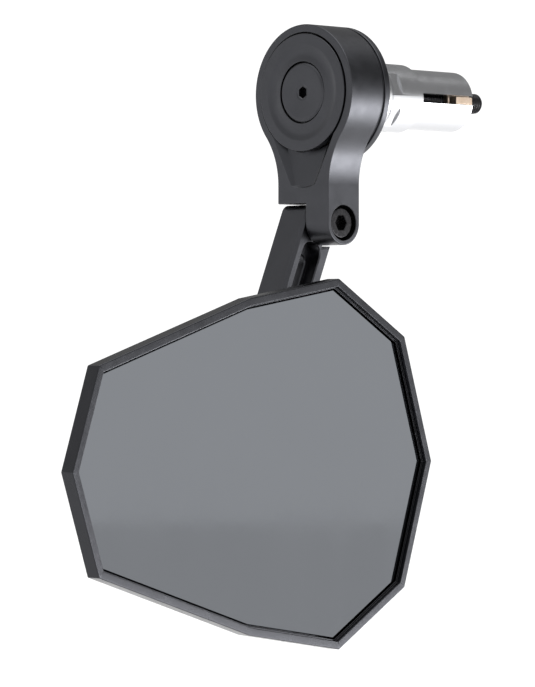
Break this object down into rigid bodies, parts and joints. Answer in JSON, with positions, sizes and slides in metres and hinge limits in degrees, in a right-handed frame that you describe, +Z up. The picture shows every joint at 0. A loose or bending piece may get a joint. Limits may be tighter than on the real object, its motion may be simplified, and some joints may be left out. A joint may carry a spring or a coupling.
{
  "type": "bar end mirror",
  "caption": "Bar-end mirror: expanding handlebar plug, rotating ring arm, folding slotted arm and ten-sided mirror head on a sliding ball joint.",
  "frame": {"origin": "on the handlebar's axis, in the plane of the sleeve's shoulder where the bar's open end butts", "axes": "+X along the bar's axis into the handlebar, -X outboard, -Y towards the rider (the way the glass looks), +Z up with the arm hanging down"},
  "size_m": [0.1761, 0.0392, 0.1742],
  "materials": {
    "anodised_black": "satin black anodised, bead blasted",
    "bright_aluminium": "bright turned aluminium",
    "brass": "plain turned brass",
    "bronze": "sintered bronze",
    "black_steel": "black oxide",
    "black_polymer": "moulded acetal",
    "adhesive_foam": "closed cell foam tape",
    "tinted_mirror": "grey tinted, silvered on the back"
  },
  "bodies": {
    "bar_clamp": {"expander_sleeve": "bright_aluminium", "wedge_nut": "brass", "clamp_bolt": "black_steel", "bolt_washer": "black_steel", "base_hub": "anodised_black", "cap_disc": "anodised_black", "cap_plug": "anodised_black", "front_friction_washer": "bronze", "rear_friction_washer": "bronze", "bearing_bush": "black_polymer"},
    "ring_arm": {"upper_arm": "anodised_black", "knuckle_bush": "bronze"},
    "folding_arm": {"lower_arm": "anodised_black", "knuckle_screw": "black_steel", "knuckle_washer": "black_polymer", "knuckle_nut": "black_steel"},
    "slider": {"slide_foot": "brass", "stud_screw": "black_steel", "stud_washer": "black_steel"},
    "stud": {"ball_stud": "black_steel"},
    "liner": {"ball_liner": "black_polymer"},
    "head": {"mirror_housing": "anodised_black", "socket_ring": "anodised_black", "socket_screw_1": "black_steel", "socket_screw_2": "black_steel", "socket_screw_3": "black_steel", "socket_screw_4": "black_steel", "glass_pad": "adhesive_foam", "mirror_glass": "tinted_mirror"}
  },
  "joints": [
    {"name": "arm_clock", "type": "hinge", "parent": "bar_clamp", "child": "ring_arm", "pos_m": [-0.03245, 0, 0], "axis": [1, 0, 0], "continuous": true},
    {"name": "arm_fold", "type": "hinge", "parent": "ring_arm", "child": "folding_arm", "pos_m": [-0.03245, 0, -0.0367], "axis": [0, 1, 0], "range_deg": [-50, 3]},
    {"name": "head_slide", "type": "slide", "parent": "folding_arm", "child": "slider", "axis": [-0.3875, 0, -0.9219], "range_m": [-0.024, 0.008]},
    {"name": "stud_spin", "type": "hinge", "parent": "slider", "child": "stud", "pos_m": [-0.06066, -0.01, -0.10381], "axis": [0, 1, 0], "range_deg": [-45, 45]},
    {"name": "head_pitch", "type": "hinge", "parent": "stud", "child": "liner", "pos_m": [-0.06066, -0.01, -0.10381], "axis": [1, 0, 0], "range_deg": [-12, 12]},
    {"name": "head_yaw", "type": "hinge", "parent": "liner", "child": "head", "pos_m": [-0.06066, -0.01, -0.10381], "axis": [0, 0, 1], "range_deg": [-15, 15]}
  ]
}
